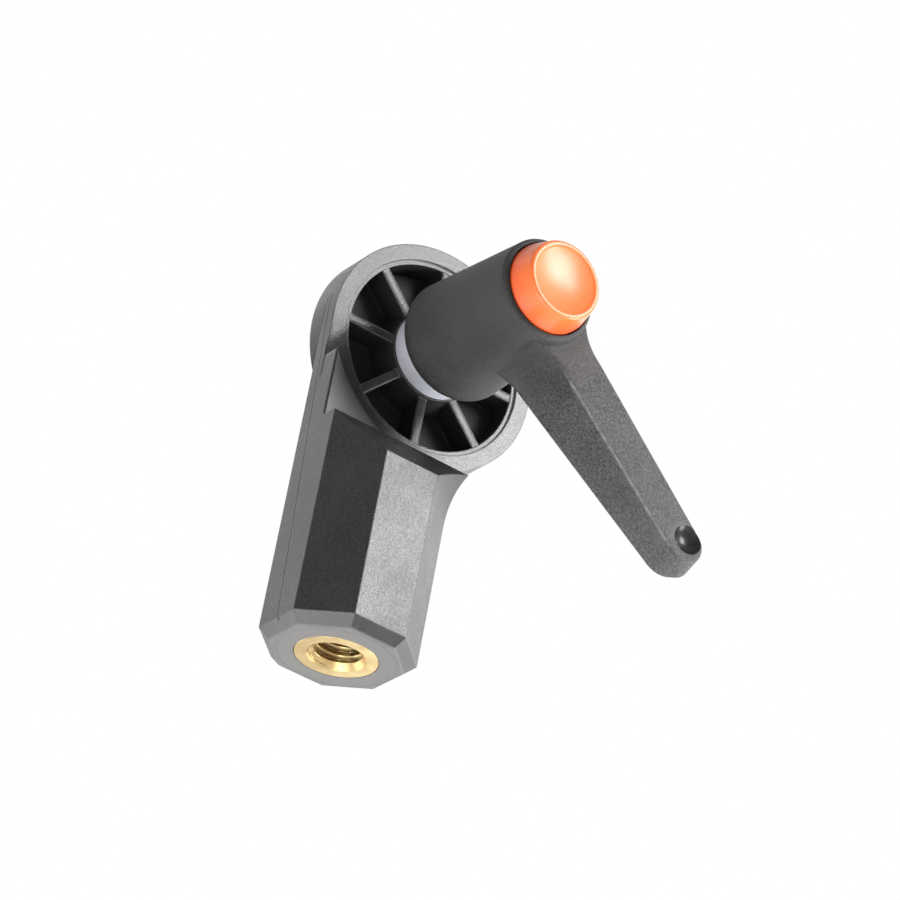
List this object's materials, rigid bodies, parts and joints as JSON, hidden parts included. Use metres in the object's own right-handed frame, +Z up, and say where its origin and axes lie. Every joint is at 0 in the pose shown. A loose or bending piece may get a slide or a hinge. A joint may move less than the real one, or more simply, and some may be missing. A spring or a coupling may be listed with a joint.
{
  "type": "swivel pipe clamp",
  "caption": "Swivelling pipe clamp with a ratchet lever and push button, on an octagonal stem with a threaded brass socket for a stand.",
  "frame": {"origin": "middle of the threaded socket's mouth, in the stem's bottom face", "axes": "+Z up along the stem, -Y towards the lever's hub, +Y towards the pipe jaws, +X to the right seen from the lever side"},
  "size_m": [0.0585, 0.0705, 0.0894],
  "materials": {
    "body_nylon": "satin, glass-filled",
    "jaw_nylon": "satin, glass-filled",
    "lever_plastic": "fine-textured",
    "insert_brass": "machined",
    "washer_nylon": "smooth",
    "ring_nylon": "smooth",
    "button_plastic": "glossy",
    "zinc_steel": "zinc plated",
    "spring_steel": "plain",
    "pad_rubber": "matte"
  },
  "bodies": {
    "base": {"base_body": "body_nylon", "thread_insert": "insert_brass", "bearing_washer": "washer_nylon"},
    "handle_core": {"lever_nut": "zinc_steel", "retaining_screw": "zinc_steel", "lever_spring": "spring_steel"},
    "lever": {"lever_body": "lever_plastic"},
    "button": {"push_button": "button_plastic"},
    "swivel_jaw": {"inner_jaw": "jaw_nylon", "inner_pad": "pad_rubber", "guide_pin": "zinc_steel", "friction_ring": "ring_nylon"},
    "clamp_jaw": {"outer_jaw": "jaw_nylon", "outer_pad": "pad_rubber", "spindle": "zinc_steel"}
  },
  "joints": [
    {"name": "jaw_swivel", "type": "hinge", "parent": "base", "child": "swivel_jaw", "pos_m": [0.0083, 0, 0.0632], "axis": [0, 1, 0], "continuous": true},
    {"name": "jaw_travel", "type": "slide", "parent": "swivel_jaw", "child": "clamp_jaw", "axis": [0, 1, 0], "range_m": [0, 0.0025]},
    {"name": "lever_turn", "type": "hinge", "parent": "base", "child": "handle_core", "pos_m": [0.0083, 0, 0.0632], "axis": [0, -1, 0], "range_deg": [0, 720]},
    {"name": "lever_lift", "type": "slide", "parent": "handle_core", "child": "lever", "axis": [0, -1, 0], "range_m": [0, 0.0035], "stiffness_N_per_m": 400, "springref_m": -0.004},
    {"name": "button_press", "type": "slide", "parent": "lever", "child": "button", "axis": [0, 1, 0], "range_m": [0, 0.0035]}
  ],
  "couplings": [
    {"joint": "jaw_travel", "follows": "lever_turn", "m_per_rad": 0.00019894},
    {"joint": "button_press", "follows": "lever_lift", "ratio": 1}
  ]
}
